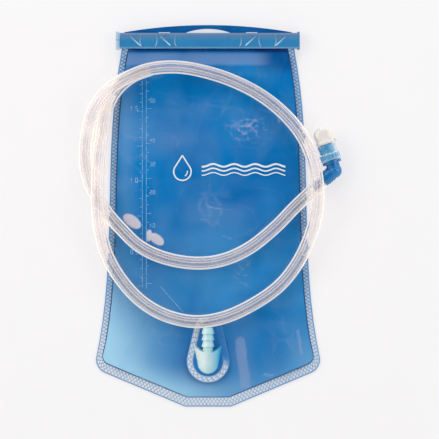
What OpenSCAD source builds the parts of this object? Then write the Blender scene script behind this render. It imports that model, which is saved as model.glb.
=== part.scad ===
// Hydration bladder: a welded film bag with a slide-on closure, a barbed outlet and a loose
// drinking hose that ends in a bite valve. The bag lies on its back film on z = 0.
// X runs across the bag and +Y runs from its foot to its closure.

/* [Bag] */
// Length of the bag from its foot to the lower edge of the slider
bag_len = 287; // [240:1:350]
// Width of the bag where it enters the slider
mouth_w = 138; // [124:1:150]
// Width of the bag at its widest point, the hips
hip_w = 180; // [160:1:220]
// Length of the straight lower edge
foot_w = 37; // [20:1:60]
// Thickness of one film
film_t = 0.5; // [0.3:0.05:0.8]
// Width of the weld along the sides
side_weld = 5.6; // [4:0.2:8]
// Width of the weld along the foot
foot_weld = 8; // [5:0.5:12]
// Height of the slack bag at its crown
crown_h = 8.5; // [6:0.5:14]
// Height of the front film where it meets the welds
rim_h = 1.2; // [1:0.1:2]

/* [Closure] */
// Length of the slider
slider_len = 143.6; // [130:0.2:170]
// Depth of the slider, along the bag
slider_depth = 12.4; // [11:0.2:16]
// Height of the slider above the surface that the bag lies on
slider_h = 10; // [9:0.5:14]
// Wall of the slider
slider_wall = 1.6; // [1.2:0.1:2.2]
// Gap between the slider and what runs in it
slide_gap = 0.4; // [0.2:0.05:0.5]
// Height of the raised relief on the slider
relief_h = 0.6; // [0.3:0.1:1]
// Width across the hanger strip
hanger_w = 134; // [116:1:142]
// Thickness of the hanger strip
hanger_t = 1.2; // [0.8:0.1:1.6]
// How far the hanger strip stands above the slider at its middle
hanger_rise = 6.4; // [5:0.2:12]
// Width of the hanging slot
slot_w = 35; // [20:1:60]

/* [Outlet] */
// Largest radius of the teardrop patch
patch_r = 17.3; // [16:0.1:24]
// Width of the patch's weld
patch_weld = 5.2; // [3.5:0.1:6]
// Height of the outlet above the foot of the bag, at the patch's largest circle
outlet_rise = 36.5; // [34:0.5:60]
// Radius of the outlet hood at its open end
hood_r = 11.2; // [10:0.1:12]
// Radius of the outlet hood at its closed end
hood_tip_r = 8.4; // [7:0.1:9]
// Radius of the barbed stem between its barbs
stem_r = 4; // [3.5:0.1:4.3]
// Radius of the barbs
barb_r = 5.2; // [4.5:0.1:5.4]
// Radius of the water way through the stem
stem_bore_r = 2.5; // [1.8:0.1:2.6]

/* [Hose] */
// Outside diameter of the hose
hose_d = 10.5; // [9:0.1:10.6]

/* [Bite valve] */
// Radius of the elbow's limbs
elbow_r = 5.5; // [5.3:0.1:6]
// Radius of the spigot that the collar turns on
spigot_r = 4.2; // [3.8:0.1:4.6]
// Radius of the water way through the elbow and the collar
valve_bore_r = 2; // [1.4:0.1:2.2]
// Radius of the collar at its lower ring
collar_r = 8.5; // [8:0.1:8.6]
// Length of the collar
collar_len = 13.2; // [12:0.2:16]
// Number of grip ribs round the collar
collar_ribs = 18; // [10:1:24]
// Radius of the mouthpiece
mouth_r = 7.6; // [7:0.1:8]
// Length of the mouthpiece
mouth_len = 15; // [13:0.5:22]

/* [Hidden] */
$fn = 64;

FILM_BLUE = [0.05, 0.42, 0.75];
WELD_BLUE = [0.45, 0.66, 0.85];
DEEP_BLUE = [0.05, 0.35, 0.62];
SLIDER_BLUE = [0.22, 0.52, 0.74];
PALE_TURQUOISE = [0.75, 0.93, 0.95];
ELBOW_BLUE = [0.03, 0.36, 0.62];
CLEAR = [0.93, 0.91, 0.88, 0.6];

tall = 60;
weld_t = 2 * film_t;
joint_gap = 0.3;
fit_gap = 0.05;

// Places along the bag
total_len = bag_len + slider_depth + hanger_rise;
foot_y = -total_len / 2;
slider_y = foot_y + bag_len;
slider_top_y = slider_y + slider_depth;
neck_len = 12;
neck_y = slider_y - neck_len;
hip_rise = 38;
hip_y = foot_y + hip_rise;
hip_corner_r = 12;

// Slope of the lower edges: the tangent from the end of the foot to the hip's corner arc
hip_reach = [hip_w / 2 - hip_corner_r - foot_w / 2, hip_rise];
foot_slope = atan(hip_reach[1] / hip_reach[0]) - asin(hip_corner_r / norm(hip_reach));

// Height of the plane in which the two films meet inside the slider
mid_z = slider_h / 2;
slot_half = max(weld_t, hanger_t) / 2 + slide_gap;

// ---- Bag ----

// How the side spreads from the mouth, at 0, to the hips, at 1
function spread(t) = 2.4 * t - 4.4 * pow(t, 2) + 3 * pow(t, 3);

function side_point(t, inset) = [
    mouth_w / 2 + (hip_w - mouth_w) / 2 * spread(t) - inset,
    slider_y + (hip_y - slider_y) * t
];

// Right half of the bag's outline from the slider to the foot, moved in by the two weld widths
function half_outline(inset, foot_inset) =
    let (
        steps = 16,
        corner = hip_corner_r - inset,
        corner_y = hip_y + (foot_inset - inset) / cos(foot_slope),
        centre = [hip_w / 2 - hip_corner_r, corner_y],
        turn = 90 - foot_slope,
        leave = centre + corner * [cos(turn), -sin(turn)],
        low_y = foot_y + foot_inset
    )
    concat(
        [[mouth_w / 2 - inset, slider_y + closure_reach]],
        [for (i = [0 : steps - 1]) side_point(i / steps, inset)],
        [for (i = [0 : 6]) centre + corner * [cos(-turn * i / 6), sin(-turn * i / 6)]],
        [[leave[0] - (leave[1] - low_y) / tan(foot_slope), low_y]]
    );

function mirrored(points) = [for (i = [len(points) - 1 : -1 : 0]) [-points[i][0], points[i][1]]];

module outline(inset, foot_inset) {
    half = half_outline(inset, foot_inset);
    polygon(concat(half, mirrored(half)));
}

// Height of the slack front film along the bag's centre line
crown_y = 20;
across_r = pow(hip_w / 2 - side_weld, 2) / (2 * (crown_h - rim_h));
function film_z(y) = crown_h - (crown_h - rim_h) * pow((y - crown_y) / (foot_y + foot_weld - crown_y), 2);

// Height of the bag's upper side at any place above the hips, and 0 beside the bag
function dome_z(x, y) =
    let (t = (slider_y - y) / (slider_y - hip_y))
    abs(x) > side_point(t, 0)[0] ? 0
    : abs(x) > side_point(t, side_weld)[0] ? weld_t
    : min(film_z(y), crown_h - x * x / (2 * across_r));

module along_x(points) {
    rotate([90, 0, 90]) linear_extrude(hip_w, center = true) polygon(points);
}

// The films reach from the neck to the end of the rails, with some play to the slider's upper wall
closure_play = 0.8;
closure_reach = slider_depth - slider_wall - slide_gap - closure_play;

module front_panel() {
    low_y = foot_y + foot_weld;
    steps = 24;
    color(FILM_BLUE) difference() {
        union() {
            intersection() {
                linear_extrude(tall) outline(side_weld, foot_weld);
                along_x(concat(
                    [[neck_y, film_t], [low_y, film_t]],
                    [for (i = [0 : steps]) let (y = low_y + (neck_y - low_y) * i / steps) [y, film_z(y)]]
                ));
                translate([0, 0, crown_h - across_r])
                    rotate([90, 0, 0]) cylinder(h = 2 * bag_len, r = across_r, center = true, $fn = 180);
            }
            intersection() {
                linear_extrude(tall) outline(side_weld, foot_weld);
                along_x([
                    [neck_y, film_t], [slider_y, mid_z], [slider_y + closure_reach, mid_z],
                    [slider_y + closure_reach, mid_z + film_t], [slider_y, mid_z + film_t],
                    [neck_y, film_z(neck_y)]
                ]);
            }
        }
        translate([0, 0, patch_z]) linear_extrude(tall) teardrop(0);
    }
}

module back_panel() {
    color(FILM_BLUE) intersection() {
        linear_extrude(tall) outline(side_weld, foot_weld);
        along_x([
            [foot_y, 0], [neck_y, 0], [slider_y, mid_z - film_t], [slider_y + closure_reach, mid_z - film_t],
            [slider_y + closure_reach, mid_z], [slider_y, mid_z], [neck_y, film_t], [foot_y, film_t]
        ]);
    }
}

module edge_weld() {
    color(WELD_BLUE) intersection() {
        linear_extrude(tall) difference() {
            outline(0, 0);
            outline(side_weld, foot_weld);
            translate([0, slider_y + closure_reach]) square([mouth_w - 2 * side_weld, 1], center = true);
        }
        along_x([
            [foot_y, 0], [neck_y, 0], [slider_y, mid_z - film_t], [slider_y + closure_reach, mid_z - film_t],
            [slider_y + closure_reach, mid_z + film_t], [slider_y, mid_z + film_t], [neck_y, weld_t],
            [foot_y, weld_t]
        ]);
    }
}

// ---- Closure ----

rail_back = 2.4;
rail_depth = closure_reach - rail_back;
rail_h = mid_z - film_t - slider_wall - slide_gap;
slider_shift = 1.2;
slider_left = -slider_len / 2 + slider_shift;
end_wall = 2;
stop_len = 2.8;
rail_inset = 1;
rail_left = slider_left - slide_gap - stop_len;
rail_right = mouth_w / 2 - rail_inset;

// A ribbed rail, z up from the film, with an end stop that the slider can't pass
module rail() {
    rail_len = rail_right - rail_left;
    groove_r = 1.4;
    groove_depth = 0.8;
    stop_proud = 1;
    translate([rail_left, slider_y, 0]) {
        difference() {
            translate([0, rail_back, 0]) cube([rail_len, rail_depth, rail_h]);
            translate([-1, rail_back + rail_depth / 2, rail_h + groove_r - groove_depth])
                rotate([0, 90, 0]) cylinder(h = rail_len + 2, r = groove_r);
        }
        translate([0, -stop_proud, 0]) cube([stop_len, rail_back + stop_proud + 1, rail_h]);
        translate([0, closure_reach - 1, 0])
            cube([stop_len, slider_depth - closure_reach + stop_proud + 1, rail_h]);
    }
}

module front_rail() {
    color(DEEP_BLUE) translate([0, 0, mid_z + film_t]) rail();
}

module back_rail() {
    color(DEEP_BLUE) translate([0, 0, mid_z - film_t]) mirror([0, 0, 1]) rail();
}

// A flat plate from low_y up, with an arched top: side_y at its sides and top_y in its middle
module arched(width, low_y, side_y, top_y) {
    rise = top_y - side_y;
    r = (pow(width / 2, 2) + pow(rise, 2)) / (2 * rise);
    intersection() {
        translate([0, top_y - r]) circle(r, $fn = 240);
        translate([-width / 2, low_y]) square([width, top_y - low_y + 1]);
    }
}

module hanger_strip() {
    low_y = slider_y + closure_reach;
    side_y = slider_top_y + 0.7;
    slot_y = low_y + 1.6;
    slot_side_y = slider_top_y + 0.4;
    slot_rise = 2.9;
    window_w = 9;
    color(DEEP_BLUE) translate([0, 0, mid_z - hanger_t / 2]) linear_extrude(hanger_t) difference() {
        arched(hanger_w, low_y, side_y, total_len / 2);
        arched(slot_w, slot_y, slot_side_y, slot_side_y + slot_rise);
        for (side = [-1, 1])
            translate([side * slot_w - window_w / 2, slot_y]) square([window_w, side_y - slot_y]);
    }
}

// A chevron ridge that points along -X
module chevron(x) {
    tip_share = 0.78;
    long_arm = 11;
    short_arm = 6;
    ridge = 1.1;
    translate([x, slider_y + slider_depth * tip_share, slider_h]) {
        rotate([0, 0, -44]) translate([-ridge / 2, -ridge / 2, 0]) cube([long_arm, ridge, relief_h]);
        rotate([0, 0, 14]) translate([0, -ridge / 2, 0]) cube([short_arm, ridge, relief_h]);
    }
}

// An upright curved ridge that bulges along X, or along -X when its bulge is -1
module bow(x, bulge) {
    r = 9;
    ridge = 0.9;
    height_share = 0.76;
    translate([x - bulge * r, slider_y + slider_depth / 2, slider_h]) intersection() {
        difference() {
            cylinder(h = relief_h, r = r);
            translate([0, 0, -1]) cylinder(h = relief_h + 2, r = r - ridge);
        }
        translate([bulge * r, 0, 0]) cube([r, slider_depth * height_share, tall], center = true);
    }
}

module slider() {
    channel_len = slider_len - end_wall + 1;
    end_flange_t = 1.6;
    color(SLIDER_BLUE) {
        difference() {
            translate([slider_left, slider_y, 0]) cube([slider_len, slider_depth, slider_h]);
            // The channel for the rails, closed at the right-hand end
            translate([slider_left - 1, slider_y + slider_wall, slider_wall])
                cube([channel_len, slider_depth - 2 * slider_wall, slider_h - 2 * slider_wall]);
            // The slots that the films and the hanger strip run in
            translate([slider_left - 1, slider_y - 1, mid_z - slot_half])
                cube([channel_len, slider_depth + 2, 2 * slot_half]);
        }
        // The flange at the closed end, a little proud on three sides
        translate([slider_left + slider_len + 0.4 - end_flange_t, slider_y - 1, 1])
            cube([end_flange_t, slider_depth + 2, slider_h - 2]);
        for (side = [0, 1]) mirror([side, 0, 0]) {
            chevron(-62.3);
            bow(-53.6, -1);
            bow(-40.8, 1);
            chevron(-38.2);
            bow(-26.2, -1);
        }
    }
}

// ---- Outlet ----

outlet_y = foot_y + outlet_rise;
patch_top_r = 11.5;
patch_top_y = outlet_y + 25.5;
patch_z = 2;
patch_h = 3.2;
flange_t = 1.2;
face_z = patch_z + patch_h;
hood_mouth_y = outlet_y + 12.5;
hood_len = 14;
hood_lift = 1.3;
stem_z = face_z + barb_r + 0.3;
stem_base_y = hood_mouth_y - 4.8;
stem_tip_y = hood_mouth_y + 14.8;
barb_pitch = 5.2;
barb_len = 4.2;
first_barb = 4.3;
inlet_r = 2.5;

// Two circles of different size and their tangents, moved in by inset
module teardrop(inset) {
    low_r = patch_r - inset;
    top_r = patch_top_r - inset;
    lean = asin((low_r - top_r) / (patch_top_y - outlet_y));
    steps = 24;
    polygon(concat(
        [for (i = [0 : steps]) let (a = 180 - lean + (180 + 2 * lean) * i / steps)
            [low_r * cos(a), outlet_y + low_r * sin(a)]],
        [for (i = [0 : steps]) let (a = lean + (180 - 2 * lean) * i / steps)
            [top_r * cos(a), patch_top_y + top_r * sin(a)]]
    ));
}

// The knurled weld band of the patch, a ring round the fitting's flange
module outlet_patch() {
    color(WELD_BLUE) translate([0, 0, patch_z]) linear_extrude(patch_h) difference() {
        teardrop(0);
        teardrop(patch_weld);
    }
}

module barb(y) {
    translate([0, y, stem_z]) rotate([-90, 0, 0]) cylinder(h = barb_len, r1 = barb_r, r2 = stem_r);
}

module outlet_fitting() {
    hood_end_y = hood_mouth_y - hood_len;
    notch_r = barb_r + 1.2;
    hood_wall = 0.8;
    color(PALE_TURQUOISE) difference() {
        union() {
            translate([0, 0, patch_z]) linear_extrude(patch_h) teardrop(patch_weld);
            // The hood: a tapered half barrel with a round end, on straight skirts
            difference() {
                for (lift = [0, hood_lift]) translate([0, 0, face_z + lift]) {
                    translate([0, hood_end_y, 0])
                        rotate([-90, 0, 0]) cylinder(h = hood_len, r1 = hood_tip_r, r2 = hood_r);
                    translate([0, hood_end_y, 0]) sphere(hood_tip_r);
                }
                translate([0, stem_base_y, stem_z]) rotate([-90, 0, 0])
                    cylinder(h = hood_mouth_y - stem_base_y + 0.01, r1 = notch_r, r2 = hood_r - hood_wall);
                translate([-tall, foot_y, -tall]) cube([2 * tall, bag_len, tall + face_z]);
            }
            translate([0, stem_base_y - 1, stem_z])
                rotate([-90, 0, 0]) cylinder(h = stem_tip_y - stem_base_y + 1, r = stem_r);
            for (i = [0 : 2]) barb(stem_base_y + first_barb + i * barb_pitch);
        }
        // The water way, up from the bag and out through the stem
        translate([0, hood_end_y, patch_z - 1]) cylinder(h = stem_z - patch_z + 1, r = inlet_r);
        translate([0, hood_end_y, stem_z]) sphere(inlet_r);
        translate([0, hood_end_y, stem_z])
            rotate([-90, 0, 0]) cylinder(h = tall, r = stem_bore_r);
    }
}

// ---- Hose ----

// Centre line of the hose from its loose end towards the elbow, as it lies on a flat bag of the usual size
HOSE_LAY = [
    [-46, 117, 11.9], [-59.5, 112, 10.9], [-70.4, 103.8, 9.2], [-78, 93.2, 7.3], [-82.3, 80.2, 6.6],
    [-85.5, 62, 6.2], [-87, 51, 7.8], [-87.7, 40, 11.6], [-88, 28, 15.8], [-88, 15, 17.7],
    [-87.6, 3, 16.8], [-86, -12, 12.2], [-80.8, -31, 8.6], [-70.4, -49.6, 9.3], [-54.4, -67.2, 11.5],
    [-34.4, -79.2, 12], [-10.4, -84.4, 11.7], [13.6, -80.8, 11.9], [37.6, -69.6, 12.4],
    [57.6, -55.2, 11.2], [72, -36.8, 9.6], [81.6, -16, 10.8], [86.6, 4, 15.4], [87.4, 22, 19.8],
    [84.6, 41, 18.8], [76, 62.4, 15], [61.6, 80.8, 12.6], [41.6, 96.8, 12.8], [17.6, 108.8, 13.2],
    [-6.4, 116, 15.8], [-26.4, 118.6, 20], [-44.8, 117, 23.1], [-60, 112, 22.2], [-73.6, 104.6, 19.9],
    [-84.8, 94.6, 16.6], [-92.8, 80.8, 11.4], [-97, 64.8, 7], [-98.4, 49, 5.6], [-96.8, 34, 5.6],
    [-91.6, 20, 5.7], [-82.6, 5, 6.6], [-70.4, -9.4, 9.2], [-54.4, -24.4, 11.5], [-34.4, -33.6, 13.2],
    [-10.4, -37.6, 13.7], [12, -35, 13.7], [33.6, -25.2, 13.4], [54, -8.8, 11.6], [68, 5.6, 9.8],
    [80, 17.2, 8.6]
];

// How much higher it must lie at one place, so that its round underside clears the dome by film_gap
film_gap = 0.3;
function lift_at(p) = max([for (across = [-1 : 0.5 : 1]) let (dx = across * hose_d / 3)
    dome_z(p[0] + dx, p[1]) + sqrt(pow(hose_d / 2, 2) - dx * dx) + film_gap - p[2]]);

// How much higher all of it lies on a taller or a wider bag, from each point and half-way to the next
last_lay = len(HOSE_LAY) - 1;
lay_rise = max(0, max([for (i = [0 : last_lay], next = [i, min(i + 1, last_lay)])
    lift_at((HOSE_LAY[i] + HOSE_LAY[next]) / 2)]));

// The elbow's corner, the directions of its two limbs and the lengths along them
corner = [101.2, 36.2, 8.8 + lay_rise];
hose_angle = 40;
hose_dir = [cos(hose_angle), sin(hose_angle), 0];
valve_angle = 108;
hose_limb = 12;
hose_barb = 11;
valve_limb = 8.4;

HOSE_ROUTE = concat([for (p = HOSE_LAY) p + [0, 0, lay_rise]], [corner - hose_limb * hose_dir]);
HOSE_SIDES = 12;
hose_wall = 1.9;

function unit(v) = v / norm(v);

function route_dir(i) =
    let (last = len(HOSE_ROUTE) - 1)
    i == last ? hose_dir : unit(HOSE_ROUTE[i + 1] - HOSE_ROUTE[max(i - 1, 0)]);

function hose_ring(i) =
    let (
        along = route_dir(i),
        side = unit(cross(along, [0, 0, 1])),
        up = cross(side, along)
    )
    [for (k = [0 : HOSE_SIDES - 1]) let (a = 360 * k / HOSE_SIDES)
        HOSE_ROUTE[i] + hose_d / 2 * (cos(a) * side + sin(a) * up)];

module drink_hose() {
    rings = len(HOSE_ROUTE);
    n = HOSE_SIDES;
    points = [for (i = [0 : rings - 1]) each hose_ring(i)];
    walls = [for (i = [0 : rings - 2], k = [0 : n - 1])
        [i * n + k, i * n + (k + 1) % n, (i + 1) * n + (k + 1) % n, (i + 1) * n + k]];
    ends = [[for (k = [n - 1 : -1 : 0]) k], [for (k = [0 : n - 1]) (rings - 1) * n + k]];
    color(CLEAR) polyhedron(points, concat(walls, ends), convexity = 10);
}

// ---- Bite valve ----

// Heights along the valve from the elbow's corner
collar_start = valve_limb + joint_gap;
collar_end = collar_start + collar_len;
collar_floor = 4.2;
spigot_end = collar_end - collar_floor;
ring_r = 0.8;
ring_places = [collar_start + 3, collar_start + 6.4];
ring_centre_r = spigot_r + fit_gap / 2 - ring_r;
nozzle_r = 5;
nozzle_len = 5;

// Children stand on the elbow's corner with their z along the valve
module valve_frame() {
    translate(corner) rotate([0, 0, valve_angle]) rotate([0, 90, 0]) children();
}

module hose_frame() {
    translate(corner) rotate([0, 0, hose_angle + 180]) rotate([0, 90, 0]) children();
}

module valve_elbow() {
    groove_r = ring_centre_r - ring_r;
    groove_w = 2 * ring_r + 0.2;
    knuckle_r = elbow_r + 0.4;
    shoulder_t = 2.4;
    grip_pitch = 2.2;
    barb_tip_r = hose_d / 2 - hose_wall;
    color(ELBOW_BLUE) difference() {
        union() {
            translate(corner) sphere(knuckle_r);
            valve_frame() {
                cylinder(h = valve_limb, r = elbow_r);
                translate([0, 0, valve_limb - shoulder_t]) cylinder(h = shoulder_t, r = collar_r - 0.8);
                cylinder(h = spigot_end, r = spigot_r);
            }
            hose_frame() {
                cylinder(h = hose_limb, r = elbow_r);
                cylinder(h = hose_limb + hose_barb, r = barb_tip_r);
                for (i = [0 : 2])
                    translate([0, 0, 4 + i * grip_pitch]) cylinder(h = grip_pitch / 2, r = elbow_r + 0.5);
            }
        }
        valve_frame() {
            for (z = ring_places) translate([0, 0, z - groove_w / 2]) difference() {
                cylinder(h = groove_w, r = spigot_r + 1);
                translate([0, 0, -1]) cylinder(h = groove_w + 2, r = groove_r);
            }
            cylinder(h = spigot_end + 1, r = valve_bore_r);
        }
        hose_frame() cylinder(h = hose_limb + hose_barb + 1, r = valve_bore_r);
        translate(corner) sphere(valve_bore_r + 0.3);
    }
}

module valve_o_rings() {
    color("dimgray") valve_frame() for (z = ring_places) translate([0, 0, z])
        rotate_extrude() translate([ring_centre_r, 0]) circle(ring_r, $fn = 24);
}

module valve_collar() {
    low_share = 0.42;
    low_len = collar_len * low_share;
    bore_r = spigot_r + fit_gap;
    flute_r = 0.8;
    color([0.6, 0.78, 0.9, 0.7]) valve_frame() difference() {
        union() {
            translate([0, 0, collar_start]) cylinder(h = low_len, r = collar_r);
            translate([0, 0, collar_start + low_len]) cylinder(h = collar_len - low_len, r = mouth_r);
            translate([0, 0, collar_end]) cylinder(h = nozzle_len, r = nozzle_r);
        }
        // Grip flutes round the lower ring
        for (i = [0 : collar_ribs - 1]) rotate([0, 0, 360 * (i + 0.5) / collar_ribs])
            translate([collar_r + 0.2, 0, collar_start - 1]) cylinder(h = low_len, r = flute_r, $fn = 16);
        translate([0, 0, collar_start - 1])
            cylinder(h = spigot_end + joint_gap - collar_start + 1, r = bore_r);
        translate([0, 0, collar_start]) cylinder(h = tall, r = valve_bore_r);
    }
}

module mouthpiece() {
    base = collar_end + joint_gap;
    dome_z = base + mouth_len - mouth_r;
    dome_hollow_r = mouth_r - 3.2;
    flat = mouth_r - 0.9;
    tab = [3, mouth_r + 1.6, 3];
    slit = [0.5, 7];
    color(CLEAR) valve_frame() difference() {
        union() {
            translate([0, 0, base]) cylinder(h = mouth_len - mouth_r, r = mouth_r);
            translate([0, 0, dome_z]) sphere(mouth_r);
            translate([-tab[0] / 2, -tab[1], base]) cube(tab);
        }
        // The socket for the collar's nozzle and the hollow above it, up to the slit
        translate([0, 0, base - 1]) cylinder(h = nozzle_len + 1, r = nozzle_r + fit_gap);
        translate([0, 0, base]) cylinder(h = dome_z - base, r = nozzle_r - 0.6);
        translate([0, 0, dome_z]) sphere(dome_hollow_r);
        translate([-slit[0] / 2, -slit[1] / 2, dome_z]) cube([slit[0], slit[1], tall]);
        // Two flats where the teeth hold it
        for (side = [-1, 1]) translate([side * (flat + tall / 2), 0, base + tab[2] + tall / 2])
            cube([tall, tall, tall], center = true);
    }
}

front_panel();
back_panel();
edge_weld();
hanger_strip();
front_rail();
back_rail();
slider();
outlet_patch();
outlet_fitting();
drink_hose();
valve_elbow();
valve_o_rings();
valve_collar();
mouthpiece();
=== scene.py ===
import math

import bpy
import numpy as np
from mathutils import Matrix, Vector


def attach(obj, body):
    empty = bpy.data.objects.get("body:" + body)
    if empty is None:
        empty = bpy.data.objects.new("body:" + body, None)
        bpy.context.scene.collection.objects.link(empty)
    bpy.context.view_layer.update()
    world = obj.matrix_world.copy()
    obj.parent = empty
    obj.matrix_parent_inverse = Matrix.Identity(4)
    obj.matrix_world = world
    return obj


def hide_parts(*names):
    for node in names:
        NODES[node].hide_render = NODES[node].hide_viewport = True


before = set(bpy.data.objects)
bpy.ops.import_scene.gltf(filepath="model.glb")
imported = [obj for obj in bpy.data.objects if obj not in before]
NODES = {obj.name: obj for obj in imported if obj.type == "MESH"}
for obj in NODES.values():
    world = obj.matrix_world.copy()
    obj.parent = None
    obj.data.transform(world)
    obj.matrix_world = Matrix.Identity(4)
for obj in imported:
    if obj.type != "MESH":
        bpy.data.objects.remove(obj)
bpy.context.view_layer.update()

# Sizes are in mm and in the frame's axes, as in the part's source, unless a comment says metres
MM = 0.001


def add_object(name, data):
    """An object of a camera, light or mesh, in the scene."""
    made = bpy.data.objects.new(name, data)
    bpy.context.scene.collection.objects.link(made)
    return made


# ---- camera and light

# In metres: how wide the picture is at the middle of the object, and where the camera hangs
FRAME_WIDTH = 0.3512
VIEW_CENTRE = Vector((0.0092, -0.0028, 0.008))
CAMERA_HEIGHT = 2.4
SENSOR_WIDTH = 36  # mm

# The dome's brightness from the horizon, 0, to the zenith, 1
DOME_STOPS = [(0.0, 0.85), (0.80, 0.80), (0.90, 0.30), (0.96, 0.05), (1.0, 0.03)]
DOME_STRENGTH = 0.95


def add_camera():
    """The camera looks straight down at the bag."""
    data = bpy.data.cameras.new("camera")
    data.sensor_width = SENSOR_WIDTH
    data.lens = SENSOR_WIDTH * (CAMERA_HEIGHT - VIEW_CENTRE.z) / FRAME_WIDTH
    data.clip_end = 20
    camera = add_object("camera", data)
    camera.location = (VIEW_CENTRE.x, VIEW_CENTRE.y, CAMERA_HEIGHT)
    bpy.context.scene.camera = camera


def add_area_light(name, place, size, power):
    """A rectangle of light that faces the middle of the bag."""
    data = bpy.data.lights.new(name, "AREA")
    data.shape = "RECTANGLE"
    data.size, data.size_y = size
    data.energy = power
    light = add_object(name, data)
    light.location = place
    light.rotation_euler = (-Vector(place)).to_track_quat("-Z", "Y").to_euler()


def add_world():
    """A soft white studio dome that is darker round the zenith, where the camera hangs."""
    world = bpy.data.worlds.new("studio")
    bpy.context.scene.world = world
    world.use_nodes = True
    nodes, links = world.node_tree.nodes, world.node_tree.links
    coords = nodes.new("ShaderNodeTexCoord")
    split = nodes.new("ShaderNodeSeparateXYZ")
    ramp = nodes.new("ShaderNodeValToRGB")
    links.new(coords.outputs["Generated"], split.inputs[0])
    links.new(split.outputs["Z"], ramp.inputs[0])
    elements = ramp.color_ramp.elements
    for element, (place, value) in zip(elements, (DOME_STOPS[0], DOME_STOPS[-1])):
        element.position = place
        element.color = (value, value, value, 1)
    for place, value in DOME_STOPS[1:-1]:
        elements.new(place).color = (value, value, value * 1.02, 1)
    links.new(ramp.outputs["Color"], nodes["Background"].inputs["Color"])
    nodes["Background"].inputs["Strength"].default_value = DOME_STRENGTH


add_camera()
add_world()
add_area_light("light_left", (-1.3, 0.5, 1.1), (1.0, 0.8), 7)
add_area_light("light_right", (1.3, 0.3, 1.1), (1.0, 0.8), 4)
add_area_light("light_far", (0.0, 1.5, 0.9), (1.4, 0.5), 4)
bpy.context.scene.view_settings.view_transform = "Standard"

# ---- materials


class Shader:
    """A node material with short calls for the parts that repeat."""

    def __init__(self, name):
        self.material = bpy.data.materials.new(name)
        self.material.use_nodes = True
        self.tree = self.material.node_tree
        self.surface = self.tree.nodes["Principled BSDF"]
        self.coords = self.add("ShaderNodeTexCoord").outputs["Object"]

    def add(self, kind, sockets=None, **settings):
        """A node, with constants on its sockets and with its settings."""
        made = self.tree.nodes.new(kind)
        for key, value in settings.items():
            setattr(made, key, value)
        for key, value in (sockets or {}).items():
            made.inputs[key].default_value = value
        return made

    def link(self, source, target):
        self.tree.links.new(source, target)

    def set(self, **values):
        """Constants on the surface's own sockets, with _ for each space in a name."""
        for key, value in values.items():
            self.surface.inputs[key.replace("_", " ")].default_value = value

    def noise(self, scale, detail, stretch=(1, 1, 1), rough=0.5):
        """Noise that stays with the piece as it moves."""
        mapping = self.add("ShaderNodeMapping", {"Scale": stretch})
        self.link(self.coords, mapping.inputs["Vector"])
        made = self.add("ShaderNodeTexNoise", {"Scale": scale, "Detail": detail, "Roughness": rough})
        self.link(mapping.outputs[0], made.inputs["Vector"])
        return made.outputs["Fac"]

    def place(self, axis):
        """How far along X, Y or Z a point lies, in metres."""
        split = self.add("ShaderNodeSeparateXYZ")
        self.link(self.coords, split.inputs[0])
        return split.outputs[axis]

    def attribute(self, name):
        return self.add("ShaderNodeAttribute", attribute_name=name).outputs["Fac"]

    def span(self, value, low, high, to_low=0.0, to_high=1.0):
        """The value from low to high, moved to the new range and held at its ends."""
        made = self.add("ShaderNodeMapRange")
        for socket, number in zip(made.inputs[1:5], (low, high, to_low, to_high)):
            socket.default_value = number
        self.link(value, made.inputs[0])
        return made.outputs[0]

    def mix(self, factor, a, b):
        """From a to b, each of them a colour or the output of a node."""
        made = self.add("ShaderNodeMix", data_type="RGBA")
        self.link(factor, made.inputs["Factor"])
        for socket, value in ((made.inputs[6], a), (made.inputs[7], b)):
            if isinstance(value, tuple):
                socket.default_value = value + (1,)
            else:
                self.link(value, socket)
        return made.outputs[2]

    def bump(self, height, strength, distance):
        """Fine relief, with its distance in metres."""
        made = self.add("ShaderNodeBump", {"Strength": strength, "Distance": distance})
        self.link(height, made.inputs["Height"])
        self.link(made.outputs[0], self.surface.inputs["Normal"])

    def colour(self, socket):
        self.link(socket, self.surface.inputs["Base Color"])

    def roughness(self, scale, detail, low, high):
        """Gloss that drifts between two roughnesses."""
        drift = self.span(self.noise(scale, detail), 0.3, 0.7, low, high)
        self.link(drift, self.surface.inputs["Roughness"])


def moulded(name, colour, darker, roughness, **sockets):
    """Moulded plastic: a slow drift of colour, uneven gloss and a fine surface grain."""
    s = Shader(name)
    s.colour(s.mix(s.span(s.noise(60, 4), 0.3, 0.7), darker, colour))
    s.roughness(140, 3, roughness * 0.8, roughness * 1.25)
    s.bump(s.noise(900, 2), 0.5, 0.00006)
    s.set(**sockets)
    return s.material


def tubing_material():
    """Clear tubing: see-through along its crown, milky at its sides, where the wall is seen edge on, with a
    painted highlight and a painted glow on the sides and along three lines, and a faint painted glow all
    over.
    """
    s = Shader("clear_tubing")
    drift = s.mix(s.span(s.noise(70, 3), 0.35, 0.65), (0.88, 0.86, 0.90), (0.98, 0.94, 0.93))
    # The painted glow makes the sides and the highlight lines cream, less see-through and glowing
    s.colour(s.mix(s.attribute("painted_glow"), drift, (1.0, 0.94, 0.86)))
    s.link(s.span(s.attribute("painted_glow"), 0.0, 1.0, 0.93, 0.3), s.surface.inputs["Transmission Weight"])
    s.link(s.span(s.attribute("painted_glow"), 0.0, 1.0, 0.02, 0.27), s.surface.inputs["Emission Strength"])
    s.roughness(120, 3, 0.02, 0.05)
    s.bump(s.noise(60, 2), 0.1, 0.00004)
    s.set(IOR=1.10, Emission_Color=(1.0, 0.88, 0.74, 1), Coat_Weight=0.5, Coat_Roughness=0.03)
    return s.material


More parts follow.
